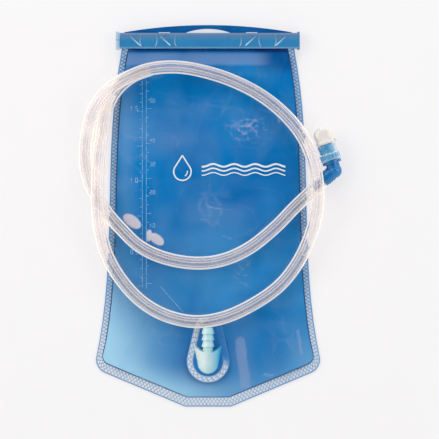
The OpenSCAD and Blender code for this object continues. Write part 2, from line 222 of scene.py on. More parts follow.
def film_material():
    """Clear blue film in two blues that drift at random, with painted shade, painted light coming up
    through it, a painted sheen of reflections and painted highlights.
    """
    s = Shader("blue_film")
    deep, clear, pale = (0.0, 0.155, 0.475), (0.0, 0.235, 0.615), (0.42, 0.76, 0.98)
    drift = s.mix(s.span(s.noise(16, 3, (1, 0.6, 1)), 0.35, 0.68), deep, clear)
    # Painted shade, painted light coming up through the film, painted sheen and painted highlights, in that
    # order
    shaded = s.mix(s.attribute("shade"), drift, (0.0, 0.035, 0.19))
    lit = s.mix(s.attribute("lightness"), shaded, pale)
    with_sheen = s.mix(s.attribute("painted_sheen"), lit, (0.31, 0.42, 0.67))
    s.colour(s.mix(s.attribute("glare"), with_sheen, (0.86, 0.78, 0.82)))
    s.roughness(45, 3, 0.10, 0.24)
    s.bump(s.noise(55, 5, (1, 0.5, 1), 0.6), 0.3, 0.0005)
    s.set(Coat_Weight=0.22, Coat_Roughness=0.05, IOR=1.42)
    return s.material


def weld_material():
    """Film pressed into diamonds between two smooth lines, paler towards the foot of the bag with painted
    light coming through it.
    """
    s = Shader("knurled_weld")
    upper = s.mix(s.attribute("knurl"), (0.05, 0.22, 0.55), (0.42, 0.64, 0.90))
    lower = s.mix(s.attribute("knurl"), (0.34, 0.50, 0.74), (0.86, 0.92, 0.97))
    knurled = s.mix(s.attribute("paleness"), upper, lower)
    s.colour(s.mix(s.attribute("line"), knurled, (0.02, 0.24, 0.64)))
    s.roughness(200, 2, 0.25, 0.45)
    s.bump(s.noise(1400, 2), 0.3, 0.00005)
    s.set(Coat_Weight=0.2, Coat_Roughness=0.2)
    return s.material


def slider_material():
    """Satin moulded plastic with a painted grey reflection on the side away from the bag, and painted
    highlights on the relief's crests and along the lower lip.
    """
    s = Shader("slider_plastic")
    drift = s.mix(s.span(s.noise(50, 3), 0.3, 0.7), (0.020, 0.225, 0.50), (0.028, 0.26, 0.56))
    grey_sheen = s.mix(s.attribute("painted_grey_sheen"), drift, (0.13, 0.235, 0.40))
    s.colour(s.mix(s.attribute("crest_highlight"), grey_sheen, (0.62, 0.78, 0.90)))
    s.roughness(140, 3, 0.26, 0.4)
    s.bump(s.noise(900, 2), 0.5, 0.00005)
    return s.material


def fitting_material():
    """Milky cream outlet plastic, with painted shade that turns it turquoise towards its right."""
    s = Shader("milky_plastic")
    # Painted shade across the fitting, from cream on the left to turquoise on the right
    side = s.span(s.place("X"), -0.003, 0.009)
    cream = s.mix(s.span(s.noise(90, 3), 0.35, 0.65), (0.70, 0.94, 0.91), (0.84, 0.98, 0.92))
    s.colour(s.mix(side, cream, (0.05, 0.50, 0.76)))
    s.roughness(140, 3, 0.18, 0.32)
    s.bump(s.noise(900, 2), 0.4, 0.00005)
    s.set(Coat_Weight=0.3, Subsurface_Weight=0.1, Subsurface_Scale=0.001)
    return s.material


def collar_material():
    """Translucent blue plastic, with painted highlights at its lips and on the side away from the bag."""
    s = Shader("collar_plastic")
    drift = s.mix(s.span(s.noise(160, 4), 0.35, 0.65), (0.05, 0.36, 0.72), (0.20, 0.56, 0.84))
    s.colour(s.mix(s.attribute("highlight"), drift, (0.85, 0.90, 0.96)))
    s.roughness(200, 3, 0.12, 0.3)
    s.bump(s.noise(500, 2), 0.3, 0.00006)
    s.set(Transmission_Weight=0.3, IOR=1.4, Coat_Weight=0.4)
    return s.material


def silicone_material():
    """Soft creamy silicone that lets a little light through."""
    s = Shader("clear_silicone")
    s.colour(s.mix(s.span(s.noise(180, 4), 0.35, 0.7), (1.0, 0.955, 0.89), (0.97, 0.91, 0.86)))
    s.roughness(220, 3, 0.2, 0.38)
    s.bump(s.noise(420, 3), 0.3, 0.00012)
    s.set(Transmission_Weight=0.12, IOR=1.4, Coat_Weight=0.4, Coat_Roughness=0.15)
    return s.material


def print_material():
    """White ink."""
    s = Shader("white_print")
    s.colour(s.mix(s.span(s.noise(700, 3), 0.35, 0.6), (0.80, 0.88, 0.94), (0.93, 0.95, 0.97)))
    s.roughness(300, 2, 0.35, 0.5)
    s.bump(s.noise(2400, 2), 0.3, 0.00003)
    return s.material


def scale_material():
    """Thin ink that lets the blue film through in places."""
    s = Shader("pale_print")
    s.colour(s.mix(s.span(s.noise(500, 3), 0.3, 0.6), (0.06, 0.27, 0.58), (0.30, 0.55, 0.82)))
    s.roughness(300, 2, 0.3, 0.45)
    s.bump(s.noise(2400, 2), 0.3, 0.00003)
    return s.material


# ---- mesh helpers


def smoothstep(t):
    """0 up to 0, 1 from 1 on, and an even rise between."""
    t = np.clip(t, 0, 1)
    return t * t * (3 - 2 * t)


def add_piece(name, verts, faces, material, body="bladder"):
    """A smooth visible piece from vertices in mm, on one of the part's bodies."""
    mesh = bpy.data.meshes.new(name)
    mesh.from_pydata([tuple(v) for v in verts * MM], [], [tuple(f) for f in faces])
    mesh.validate()
    mesh.shade_smooth()
    mesh.materials.append(material)
    piece = add_object(name, mesh)
    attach(piece, body)
    return piece


def grid_faces(rows, columns, wrap=False):
    """Quads over a grid of vertices, row after row. Wrap joins each row's last vertex to its first."""
    faces = []
    for r in range(rows - 1):
        for c in range(columns if wrap else columns - 1):
            n = (c + 1) % columns
            a, b = r * columns, (r + 1) * columns
            faces.append((a + c, a + n, b + n, b + c))
    return faces


def moved_faces(faces, start, flip=False):
    """The faces for vertices that come after the first start ones, turned over where flip is set."""
    step = -1 if flip else 1
    return [tuple(start + i for i in face[::step]) for face in faces]


def skin(rings):
    """A closed skin through rings that run up the outside and back down the bore."""
    sides = len(rings[0])
    faces = grid_faces(len(rings), sides, wrap=True)
    last = (len(rings) - 1) * sides
    faces += [(last + c, last + (c + 1) % sides, (c + 1) % sides, c) for c in range(sides)]
    return np.concatenate(rings), faces


def lofted(sections):
    """Closed skin through outlines of equal count, with flat ends: vertices and faces."""
    sides, count = len(sections[0]), len(sections)
    faces = grid_faces(count, sides, wrap=True)
    faces += [tuple(range(sides))[::-1], tuple((count - 1) * sides + i for i in range(sides))]
    return np.concatenate(sections), faces


def smooth_line(points, steps):
    """A curve through the points, with that many steps between each two."""
    ends = [2 * points[0] - points[1], *points, 2 * points[-1] - points[-2]]
    line = []
    for p0, p1, p2, p3 in zip(ends, ends[1:], ends[2:], ends[3:]):
        for t in np.arange(steps) / steps:
            line.append(0.5 * (2 * p1 + (p2 - p0) * t + (2 * p0 - 5 * p1 + 4 * p2 - p3) * t ** 2
                               + (3 * p1 - p0 - 3 * p2 + p3) * t ** 3))
    return np.array(line + [points[-1]])


def even_line(points, step):
    """Points every step or a little less along a polyline, and their distance along it."""
    lengths = np.concatenate([[0], np.cumsum(np.linalg.norm(np.diff(points, axis=0), axis=1))])
    at = np.linspace(0, lengths[-1], int(lengths[-1] / step) + 2)
    return np.stack([np.interp(at, lengths, points[:, k]) for k in range(points.shape[1])], -1), at


def arc_points(centre, radius, start, end, count=20):
    """Points on an arc between two angles in degrees."""
    return [(centre[0] + radius * math.cos(math.radians(a)), centre[1] + radius * math.sin(math.radians(a)))
            for a in np.linspace(start, end, count)]


def rounded(points, radius, steps=4):
    """The closed outline with each corner cut to a small arc."""
    points = np.array(points, float)
    made = []
    for before, corner, after in zip(np.roll(points, 1, 0), points, np.roll(points, -1, 0)):
        a, b = before - corner, after - corner
        reach = min(radius, 0.45 * np.linalg.norm(a), 0.45 * np.linalg.norm(b))
        start = corner + reach * a / np.linalg.norm(a)
        end = corner + reach * b / np.linalg.norm(b)
        for t in np.linspace(0, 1, steps):
            made.append((1 - t) ** 2 * start + 2 * t * (1 - t) * corner + t * t * end)
    return np.array(made)


def even_turns(sides):
    """Angles round a circle in even steps."""
    return 2 * math.pi * np.arange(sides) / sides


def directions(line):
    """Unit vectors along a line of points."""
    along = np.gradient(line, axis=0)
    return along / np.linalg.norm(along, axis=1)[:, None]


def knurl(u, v, pitch):
    """Diamond pattern: 1 on the diamonds and 0 in the crossing grooves."""
    a = np.abs(np.sin(math.pi * (u + v) / pitch))
    b = np.abs(np.sin(math.pi * (u - v) / pitch))
    return smoothstep(1.7 * np.minimum(a, b))


def set_attribute(piece, name, values):
    """One number for each vertex, which a material can read."""
    attribute = piece.data.attributes.new(name, "FLOAT", "POINT")
    attribute.data.foreach_set("value", np.asarray(values, np.float32))


def repaint(node, material):
    """A CAD node keeps its shape and gets this material."""
    NODES[node].data.materials.clear()
    NODES[node].data.materials.append(material)


# ---- drinking hose

HOSE_D = 10.5
HOSE_BORE_D = 6.7
HOSE_SIDES = 64
# Steps between two points of the route
ROUTE_STEPS = 7

# The elbow's corner, and its limb that reaches back to the hose
ELBOW_CORNER = np.array([101.2, 36.2, 8.8])
HOSE_ANGLE = math.radians(40)
HOSE_DIR = np.array([math.cos(HOSE_ANGLE), math.sin(HOSE_ANGLE), 0.0])
HOSE_LIMB = 12

# Centre line from the loose end to the elbow, the same as in the part's source
HOSE_ROUTE = np.array([
    [-46, 117, 11.9], [-59.5, 112, 10.9], [-70.4, 103.8, 9.2], [-78, 93.2, 7.3], [-82.3, 80.2, 6.6],
    [-85.5, 62, 6.2], [-87, 51, 7.8], [-87.7, 40, 11.6], [-88, 28, 15.8], [-88, 15, 17.7],
    [-87.6, 3, 16.8], [-86, -12, 12.2], [-80.8, -31, 8.6], [-70.4, -49.6, 9.3], [-54.4, -67.2, 11.5],
    [-34.4, -79.2, 12], [-10.4, -84.4, 11.7], [13.6, -80.8, 11.9], [37.6, -69.6, 12.4],
    [57.6, -55.2, 11.2], [72, -36.8, 9.6], [81.6, -16, 10.8], [86.6, 4, 15.4], [87.4, 22, 19.8],
    [84.6, 41, 18.8], [76, 62.4, 15], [61.6, 80.8, 12.6], [41.6, 96.8, 12.8], [17.6, 108.8, 13.2],
    [-6.4, 116, 15.8], [-26.4, 118.6, 20], [-44.8, 117, 23.1], [-60, 112, 22.2], [-73.6, 104.6, 19.9],
    [-84.8, 94.6, 16.6], [-92.8, 80.8, 11.4], [-97, 64.8, 7], [-98.4, 49, 5.6], [-96.8, 34, 5.6],
    [-91.6, 20, 5.7], [-82.6, 5, 6.6], [-70.4, -9.4, 9.2], [-54.4, -24.4, 11.5], [-34.4, -33.6, 13.2],
    [-10.4, -37.6, 13.7], [12, -35, 13.7], [33.6, -25.2, 13.4], [54, -8.8, 11.6], [68, 5.6, 9.8],
    [80, 17.2, 8.6], ELBOW_CORNER - HOSE_LIMB * HOSE_DIR,
])

# Painted highlight lines along the tube: place across it, half width, strength
HIGHLIGHT_LINES = [(0.50, 0.10, 0.75), (-0.06, 0.09, 0.85), (-0.48, 0.09, 0.70)]
# How far out across the tube its milky sides, with their painted highlight and glow, begin, from 0 at the
# crown to 1, and how wide their start is
FLANK_START = 0.74
FLANK_RISE = 0.2


def tube_ring(centre, along, radius):
    """A circle of vertices square to the direction along."""
    side = np.cross(along, [0, 0, 1])
    side /= np.linalg.norm(side)
    up = np.cross(side, along)
    turns = even_turns(HOSE_SIDES)
    return centre + radius * (np.outer(np.cos(turns), side) + np.outer(np.sin(turns), up))


def add_hose():
    """The tube with its bore: the piece, its centre line and its length, both in metres."""
    line = smooth_line(HOSE_ROUTE, ROUTE_STEPS)
    length = np.linalg.norm(np.diff(line, axis=0), axis=1).sum() * MM
    along = directions(line)
    outer = [tube_ring(p, d, HOSE_D / 2) for p, d in zip(line, along)]
    inner = [tube_ring(p, d, HOSE_BORE_D / 2) for p, d in zip(line, along)]
    verts, faces = skin(outer + inner[::-1])
    hose = add_piece("hose_tube", verts, faces, tubing_material())
    across = np.cos(even_turns(HOSE_SIDES))
    # Painted highlight and glow: on the sides and along the highlight lines the tube turns cream, less
    # clear and glowing
    painted_glow = smoothstep((np.abs(across) - FLANK_START) / FLANK_RISE)
    for place, half, strength in HIGHLIGHT_LINES:
        painted_glow = np.maximum(painted_glow, strength * smoothstep(1 - np.abs(across - place) / half))
    painted_glows = np.tile(painted_glow, len(line))
    set_attribute(hose, "painted_glow", np.concatenate([painted_glows, np.zeros(len(painted_glows))]))
    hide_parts("drink_hose")
    return hose, line * MM, length


hose, hose_path, hose_length = add_hose()

# ---- bag

FILM = film_material()
WELD = weld_material()

# Lengths along the bag and half its widths, the same as in the part's source
BAG_LEN = 287
TOTAL_LEN = 305.8
MOUTH_HALF = 69
HIP_HALF = 90
FOOT_HALF = 18.5
SIDE_WELD = 5.6
FOOT_WELD = 8
NECK_LEN = 12
CLOSURE_REACH = 9.6
HIP_RISE = 38
HIP_CORNER = 12

# Heights: the dome's crown and its rim at the weld, the middle of the closure, and one film
CROWN_H = 8.5
RIM_H = 1.2
MID_Z = 5
FILM_T = 0.5

# Places along the bag
FOOT_Y = -TOTAL_LEN / 2
SLIDER_Y = FOOT_Y + BAG_LEN
NECK_Y = SLIDER_Y - NECK_LEN
TOP_Y = SLIDER_Y + CLOSURE_REACH
HIP_Y = FOOT_Y + HIP_RISE
CROWN_Y = 20

HIP_REACH = (HIP_HALF - HIP_CORNER - FOOT_HALF, HIP_RISE)
FOOT_SLOPE = math.atan2(HIP_REACH[1], HIP_REACH[0]) - math.asin(HIP_CORNER / math.hypot(*HIP_REACH))
SIDE_STEPS = 16
CORNER_STEPS = 6

FILM_ROWS = 330
FILM_COLUMNS = 210


def half_outline(inset, foot_inset):
    """Right half of the bag's outline from the mouth to the foot, moved in by the two weld widths."""
    points = [(MOUTH_HALF - inset, TOP_Y)]
    # The side widens along a cubic, from the slider where t is 0 to the hip where it is 1
    for t in np.arange(SIDE_STEPS) / SIDE_STEPS:
        spread = 2.4 * t - 4.4 * t ** 2 + 3 * t ** 3
        points.append((MOUTH_HALF + (HIP_HALF - MOUTH_HALF) * spread - inset,
                       SLIDER_Y + (HIP_Y - SLIDER_Y) * t))
    corner_r = HIP_CORNER - inset
    centre = (HIP_HALF - HIP_CORNER, HIP_Y + (foot_inset - inset) / math.cos(FOOT_SLOPE))
    turn = math.pi / 2 - FOOT_SLOPE
    for a in -turn * np.arange(CORNER_STEPS + 1) / CORNER_STEPS:
        points.append((centre[0] + corner_r * math.cos(a), centre[1] + corner_r * math.sin(a)))
    low_y = FOOT_Y + foot_inset
    leave = points[-1]
    points.append((leave[0] - (leave[1] - low_y) / math.tan(FOOT_SLOPE), low_y))
    return np.array(points)


INNER = half_outline(SIDE_WELD, FOOT_WELD)


def inner_half_width(y):
    """Half the width of the bag between its welds."""
    return np.interp(-np.asarray(y), -INNER[:, 1], INNER[:, 0])


def film_base(x, y):
    """Height of the slack front film, dome and rise to the mouth, without its wrinkles."""
    across_r = (HIP_HALF - SIDE_WELD) ** 2 / (2 * (CROWN_H - RIM_H))
    low_y = FOOT_Y + FOOT_WELD
    lengthwise = CROWN_H - (CROWN_H - RIM_H) * ((y - CROWN_Y) / (low_y - CROWN_Y)) ** 2
    dome = np.minimum(CROWN_H - x ** 2 / (2 * across_r), lengthwise)
    neck = MID_Z + FILM_T
    return dome + (neck - dome) * smoothstep((y - NECK_Y) / (SLIDER_Y - NECK_Y))


def weld_height(y):
    """Height of the flat edge and the back film: on the table, and rising to the closure."""
    return (MID_Z - FILM_T) * smoothstep((y - NECK_Y) / (SLIDER_Y - NECK_Y))


# Creases in the slack film: points in mm, width in mm, how high they stand and how much they shine
CREASES = [
    ([(19, 76), (26, 73.6), (35, 74.4)], 1.6, 0.35, 0.30),
    ([(22, 70.4), (30, 67), (39, 68.8)], 1.8, 0.4, 0.35),
    ([(26, 64.8), (33, 68), (39, 72)], 1.5, 0.5, 0.55),
    ([(22, 62), (29, 60.5), (37, 62.5)], 1.6, 0.3, 0.28),
    ([(-4, 16), (-7.2, 8), (-4, -1), (3.2, -8)], 2.6, 0.45, 0.26),
    ([(3, 17), (8.8, 10.4), (10.4, 2.4), (6.4, -6.4)], 2.4, 0.4, 0.24),
    ([(-2, 9), (2, 3.2), (1, -3)], 2.2, 0.35, 0.2),
    ([(12, -16), (17, -18), (19, -18)], 1.5, 0.3, 0.3),
    ([(23, -37), (28, -43), (34, -37)], 1.8, 0.4, 0.3),
    ([(21, -48), (26, -53), (32, -56)], 1.6, 0.3, 0.28),
    ([(-46, -84), (-51, -92)], 2.6, 0.3, 0.25),
    ([(-62, 112), (-30, 117), (10, 116), (46, 112)], 3.0, 0.3, 0.12),
    ([(48, -58), (58, -78), (66, -104)], 6.0, 0.4, 0.12),
    ([(-30, 92), (-6, 88), (14, 92)], 5.0, 0.25, 0.08),
    ([(-68, 50), (-64, 46), (-50, 47)], 3.5, 0.25, 0.14),
    ([(-68, 66), (-60, 62), (-48, 62)], 3.0, 0.25, 0.16),
]
# Sharp-edged reflections where the film bends: points, width and strength
STREAKS = [
    ([(26, -101), (26.8, -112), (30.2, -135)], 5.4, 0.40),
    ([(10.5, -101), (10.8, -106)], 0.9, 0.8),
    ([(45, -127), (51, -128)], 1.2, 0.5),
    ([(56, 84), (57, 76)], 1.8, 0.4),
    ([(72, -92), (75, -110)], 1.6, 0.4),
]
# Places where the film crinkles finely: centre, half sizes, spacing of the folds, how much they shine
CRINKLES = [
    ((31, 68), (13, 8), 5.2, 0.95), ((34, 74), (10, 5), 3.4, 0.7), ((4, 6), (12, 15), 11.0, 0.42),
    ((27, -45), (8, 9), 7.0, 0.45), ((40, -18), (16, 7), 9.0, 0.20), ((-30, 62), (18, 9), 9.0, 0.16),
    ((20, 84), (30, 7), 12.0, 0.16), ((56, 84), (10, 14), 8.0, 0.22), ((-60, 44), (8, 24), 8.0, 0.22),
    ((62, -100), (12, 26), 12.0, 0.16), ((-40, -96), (14, 12), 9.0, 0.22),
]
# Patches of painted light coming up through the film: centre, half sizes, turn in degrees, strength
PALE_PATCHES = [
    ((-80, -104), (34, 40), 0, 0.78), ((-34, -142), (52, 17), -22, 0.62), ((-86, -58), (15, 46), 0, 0.42),
    ((84, -122), (26, 24), 0, 0.28), ((10, -142), (60, 16), 0, 0.30), ((-67, 50), (7, 90), 0, 0.09),
    ((0, -60), (90, 60), 0, 0.08), ((-8, -18), (30, 34), 0, 0.07), ((70, -60), (16, 50), 0, 0.06),
]
# Patches of painted sheen, a lavender reflection on the film: centre, half sizes, turn in degrees, strength
SHEEN_PATCHES = [
    ((-30, 62), (40, 15), -6, 0.20), ((50, 68), (26, 12), 10, 0.10), ((20, 2), (50, 12), 0, 0.10),
    ((-66, 80), (7, 60), 0, 0.14), ((26, -112), (11, 30), 8, 0.16), ((0, 84), (60, 8), 0, 0.08),
]
# Painted highlights, bright marks where the film stands off: centre, half sizes, turn in degrees
GLARE_MARKS = [
    ((-60.8, -4.2), (8.4, 4.5), -36), ((-47.2, -15.6), (2.7, 4.8), 0), ((-41.0, -18.6), (6.8, 3.8), -35),
]
# The band of painted sheen, a reflection, under the slider: its low and high edges, and where it ends on
# the right
SHEEN_BAND = (119.5, 132)
SHEEN_BAND_END = 54
# How far in from the welds and down from the neck the film comes fully slack
SLACK_FROM_SIDE = 18
SLACK_FROM_FOOT = 20
SLACK_FROM_NECK = 14
# How far the slack film sinks below its base, and how far in from the weld it puckers
SAG = 0.8
PUCKER_REACH = 9


def stroke(x, y, points, width):
    """1 on a line through the points, falling softly to 0 at its width to either side."""
    near = np.full(x.shape, np.inf)
    for (ax, ay), (bx, by) in zip(points, points[1:]):
        dx, dy = bx - ax, by - ay
        t = np.clip(((x - ax) * dx + (y - ay) * dy) / (dx * dx + dy * dy), 0, 1)
        near = np.minimum(near, np.hypot(x - ax - t * dx, y - ay - t * dy))
    return smoothstep(1 - near / width)


def spread_of(x, y, place, size, turn):
    """A soft spot, 1 at its middle."""
    a = math.radians(turn)
    u = ((x - place[0]) * math.cos(a) + (y - place[1]) * math.sin(a)) / size[0]
    v = (-(x - place[0]) * math.sin(a) + (y - place[1]) * math.cos(a)) / size[1]
    return np.exp(-(u * u + v * v))


def ripple(x, y, scale, turn):
    """Uneven waves that wander across the film, from -1 to 1."""
    a = math.radians(turn)
    u = (x * math.cos(a) + y * math.sin(a)) / scale
    v = (-x * math.sin(a) + y * math.cos(a)) / scale
    waves = np.sin(2.1 * u + 1.6 * np.sin(0.9 * v + 0.7) + 0.8 * np.sin(2.3 * v))
    return waves * np.cos(0.8 * v + np.sin(0.6 * u))


def fold_lines(x, y, spacing):
    """1 along thin wandering lines and 0 between them."""
    across = ripple(x + 1.3 * ripple(x, y, spacing / 2, 10), y, spacing, 32)
    return smoothstep(1 - np.abs(across) * 5.5) * (0.65 + 0.35 * ripple(x, y, spacing / 1.7, 100))


def film_wrinkles(x, y):
    """How far the slack film stands off its base: waves, folds, marks, crinkles and the weld's puckers."""
    from_side = inner_half_width(y) - np.abs(x)
    foot = np.clip((y - FOOT_Y - FOOT_WELD) / SLACK_FROM_FOOT, 0, 1)
    neck = smoothstep((NECK_Y - y) / SLACK_FROM_NECK)
    slack = np.clip(from_side / SLACK_FROM_SIDE, 0, 1) * foot * neck
    waves = 0.4 * ripple(x, y, 17, 25) + 0.3 * ripple(x, y, 11, -50) + 0.14 * ripple(x, y, 5, 70)
    folds = sum(0.5 * height * stroke(x, y, points, 1.4 * width) for points, width, height, _ in CREASES)
    marks = sum(0.4 * spread_of(x, y, *mark) for mark in GLARE_MARKS)
    marks = marks + sum(0.35 * spread_of(x, y, place, size, 0) * ripple(x, y, spacing, 32)
                        for place, size, spacing, _ in CRINKLES)
    pucker = 0.12 * np.sin(y / 1.9 + np.sin(x / 5)) * np.clip(1 - from_side / PUCKER_REACH, 0, 1)
    return slack * (0.6 * waves + folds + marks - SAG) + pucker * foot * neck


def film_height(x, y):
    """Height of the front film as it is seen."""
    return film_base(x, y) + film_wrinkles(x, y)


def film_lightness(x, y):
    """How much painted light comes up through the film."""
    pale = sum(strength * spread_of(x, y, *patch) for *patch, strength in PALE_PATCHES)
    return pale + 0.025 * ripple(x, y, 12, 40) + 0.02 * ripple(x, y, 30, -20)


def film_sheen(x, y):
    """Painted sheen of reflections and highlights: soft patches, the band under the slider, creases,
    streaks and crinkles.
    """
    painted_sheen = sum(strength * spread_of(x, y, *patch) for *patch, strength in SHEEN_PATCHES)
    band = smoothstep((SHEEN_BAND[1] - y) / 3) * smoothstep((y - SHEEN_BAND[0]) / 3)
    band = band * smoothstep((SHEEN_BAND_END - x) / 16)
    painted_sheen = painted_sheen + (0.40 + 0.05 * ripple(x, y, 14, 0)) * band
    painted_sheen = painted_sheen + 0.03 * ripple(x, y, 9, -35)
    for points, width, _, shine in CREASES:
        wavering = 0.6 + 0.5 * ripple(x, y, 2.6, 35)
        painted_sheen = painted_sheen + 0.8 * shine * wavering * stroke(x + 0.6 * ripple(x, y, 3, 0), y, points, width)
    for points, width, strength in STREAKS:
        painted_sheen = painted_sheen + strength * smoothstep(3 * stroke(x + 0.4 * ripple(x, y, 5, 70), y, points, width))
    for place, size, spacing, shine in CRINKLES:
        painted_sheen = painted_sheen + shine * spread_of(x, y, place, size, 0) * fold_lines(x, y, spacing)
    return painted_sheen + 0.05 * fold_lines(x, y, 17)


def film_glare(x, y):
    """Painted highlights: bright marks with a brighter rim, and the sharpest folds of the crinkles."""
    stood_off = np.max([spread_of(x, y, *mark) for mark in GLARE_MARKS], 0) + 0.02 * ripple(x, y, 2.2, 15)
    rim = smoothstep(1 - np.abs(stood_off - 0.42) / 0.08)
    glare = 0.80 * smoothstep((stood_off - 0.36) * 9) + 0.3 * rim
    for place, size, spacing, shine in CRINKLES:
        fold = spread_of(x, y, place, size, 0) * fold_lines(x, y, spacing)
        glare = glare + 0.7 * shine ** 2 * fold ** 2
    return 0.95 * np.clip(glare, 0, 1)


def film_shade(x, y):
    """Painted shade close to the slider, and darker film in the upper right corner."""
    under_slider = smoothstep((y - 130) / 3)
    upper_right = smoothstep((x - 30) / 20) * smoothstep((y - 112) / 10)
    return 0.8 * under_slider + 0.5 * upper_right


# The attributes that the film's material reads, each from 0 to 1
FILM_TONES = {"lightness": film_lightness, "painted_sheen": film_sheen, "glare": film_glare, "shade": film_shade}


def add_films():
    """The slack front film and the flat back film, between the welds."""
    ys = np.linspace(FOOT_Y + FOOT_WELD, TOP_Y, FILM_ROWS)
    x = np.outer(inner_half_width(ys), np.linspace(-1, 1, FILM_COLUMNS))
    y = np.repeat(ys[:, None], FILM_COLUMNS, 1)
    faces = grid_faces(FILM_ROWS, FILM_COLUMNS)
    front = add_piece("front_film", np.stack([x, y, film_height(x, y)], -1).reshape(-1, 3), faces, FILM)
    for name, tone in FILM_TONES.items():
        set_attribute(front, name, np.clip(tone(x, y), 0, 1).ravel())
    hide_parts("front_panel")
    back = add_piece("back_film", np.stack([x, y, weld_height(y)], -1).reshape(-1, 3)[::-1], faces, FILM)
    set_attribute(back, "lightness", 0.05 + 0.04 * ripple(x, y, 20, 30).ravel())
    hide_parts("back_panel")


# The welded band: vertices across it, pitch and height of its diamonds, thickness, width of its edge lines
WELD_COLUMNS = 17
WELD_PITCH = 4.1
WELD_RELIEF = 0.55
WELD_T = 0.55
WELD_LINE = 0.9


def add_weld():
    """The knurled band round the sides and the foot, with a smooth line along each of its edges."""
    half = np.concatenate([half_outline(0, 0), INNER], 1)
    both, along = even_line(np.concatenate([half, (half * [-1, 1, -1, 1])[::-1]]), 0.5)
    share = np.linspace(0, 1, WELD_COLUMNS)[None, :, None]
    place = both[:, None, :2] * (1 - share) + both[:, None, 2:] * share
    width = np.linalg.norm(both[:, :2] - both[:, 2:], axis=1)[:, None]
    from_outside = share[:, :, 0] * width
    from_edge = np.minimum(from_outside, width - from_outside)
    pattern = knurl(np.repeat(along[:, None], WELD_COLUMNS, 1), from_outside, WELD_PITCH)
    raised = pattern * smoothstep(from_edge / WELD_LINE)
    low = weld_height(place[..., 1])
    high = low + WELD_T + WELD_RELIEF * raised
    upper = np.concatenate([place, high[..., None]], -1).reshape(-1, 3)
    lower = np.concatenate([place, low[..., None]], -1).reshape(-1, 3)
    rows = len(both)
    count = rows * WELD_COLUMNS
    top_faces = grid_faces(rows, WELD_COLUMNS)
    faces = top_faces + moved_faces(top_faces, count, flip=True)
    for c in (0, WELD_COLUMNS - 1):
        for r in range(rows - 1):
            a, b = r * WELD_COLUMNS + c, (r + 1) * WELD_COLUMNS + c
            quad = (a, b, count + b, count + a)
            faces.append(quad if c == 0 else quad[::-1])
    weld = add_piece("weld_band", np.concatenate([upper, lower]), faces, WELD)
    set_attribute(weld, "knurl", np.concatenate([raised.ravel(), np.zeros(count)]))
    line = 1 - smoothstep(from_edge / WELD_LINE - 0.2)
    set_attribute(weld, "line", np.concatenate([line.ravel(), np.zeros(count)]))
    # Painted light coming through the weld: strongest towards the foot, a little less on the right
    paleness = 0.9 * smoothstep((-place[..., 1] - 40) / 70) * (1 - 0.25 * smoothstep(place[..., 0] / 60))
    set_attribute(weld, "paleness", np.concatenate([paleness.ravel()] * 2))
    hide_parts("edge_weld")


add_films()
add_weld()

# ---- print on the film

PRINT = print_material()
SCALE = scale_material()

# How far the ink stands off the film, so that the two don't mix
PRINT_LIFT = 0.12
PRINT_STEP = 0.7

# The line that draws each character, on a grid 2 wide and 4 high. Rooms are in shares of its height.
DIGIT_HEIGHT = 4
DIGIT_ROOM = 0.8
POINT_ROOM = 0.35
DIGITS = {
    "0": [(0, 0), (2, 0), (2, 4), (0, 4), (0, 0)],
    "1": [(1, 0), (1, 4), (0, 3)],
    "2": [(0, 4), (2, 4), (2, 2), (0, 2), (0, 0), (2, 0)],
    "3": [(0, 4), (2, 4), (1, 2), (2, 1.4), (2, 0), (0, 0)],
    "4": [(1.6, 0), (1.6, 4), (0, 1.4), (2, 1.4)],
    "5": [(2, 4), (0, 4), (0, 2), (2, 2), (2, 0), (0, 0)],
    ".": [(0.2, 0), (0.5, 0)],
}
# Two columns of generic numbers: X, height, width of line, and each number with its place along the bag
NUMBER_COLUMNS = (
    (-62, 3.4, 0.65, (("1.5", 84.5), ("1.0", 27), ("0.5", -30.5))),
    (-46.5, 3.0, 0.55, (("50", 91), ("40", 59), ("30", 40), ("20", 17.5), ("10", -9))),
)

# The scale's two long lines, the marks on their outer sides, and a slanting line below them
SCALE_LEFT = -52.6
SCALE_RIGHT = -49.4
SCALE_LOW = -58
SCALE_HIGH = 108
SCALE_LINE_W = 0.45
MARKS = 24
FIRST_MARK = 4
MARK_PITCH = 7.0
MARK_SHIFT = 2
MARK_W = 0.4
LONG_MARK = 4.2
SHORT_MARK = 2.2
SLANT = ([(-38, -56.5), (-20, -77)], 0.5)

# The mark: a drop with a glint in it, and waves to its right
DROP_CENTRE = (-20.5, 35.5)
DROP_TIP = (-20.5, 48.5)
DROP_R = 7
GLINT_R = 4
WAVE_START = -5
WAVE_END = 62
WAVE_TOP = 40.5
WAVE_PITCH = 3.4
WAVE_LENGTH = 16.75
WAVE_HEIGHT = 1.1
WAVE_WIDTHS = (1.5, 1.2, 0.9)


def film_ribbon(points, width):
    """A flat printed line that follows the film: its vertices and faces."""
    line, _ = even_line(np.array(points, float), PRINT_STEP)
    along = directions(line)
    side = np.stack([-along[:, 1], along[:, 0]], -1) * width / 2
    flat = np.stack([line + side, line, line - side], 1).reshape(-1, 2)
    verts = np.column_stack([flat, film_height(flat[:, 0], flat[:, 1]) + PRINT_LIFT])
    return verts, grid_faces(len(line), 3)


def add_ribbons(name, lines, material):
    """One piece from many (points, width) lines on the film."""
    verts, faces = [], []
    for points, width in lines:
        made, quads = film_ribbon(points, width)
        faces += moved_faces(quads, sum(len(v) for v in verts), flip=True)
        verts.append(made)
    piece = add_piece(name, np.concatenate(verts), faces, material)


def number_lines(text, place, height, width):
    """The lines of one printed number, from its lower left corner."""
    lines = []
    x = place[0]
    size = height / DIGIT_HEIGHT
    for character in text:
        lines.append(([(x + px * size, place[1] + py * size) for px, py in DIGITS[character]], width))
        x += height * (POINT_ROOM if character == "." else DIGIT_ROOM)
    return lines


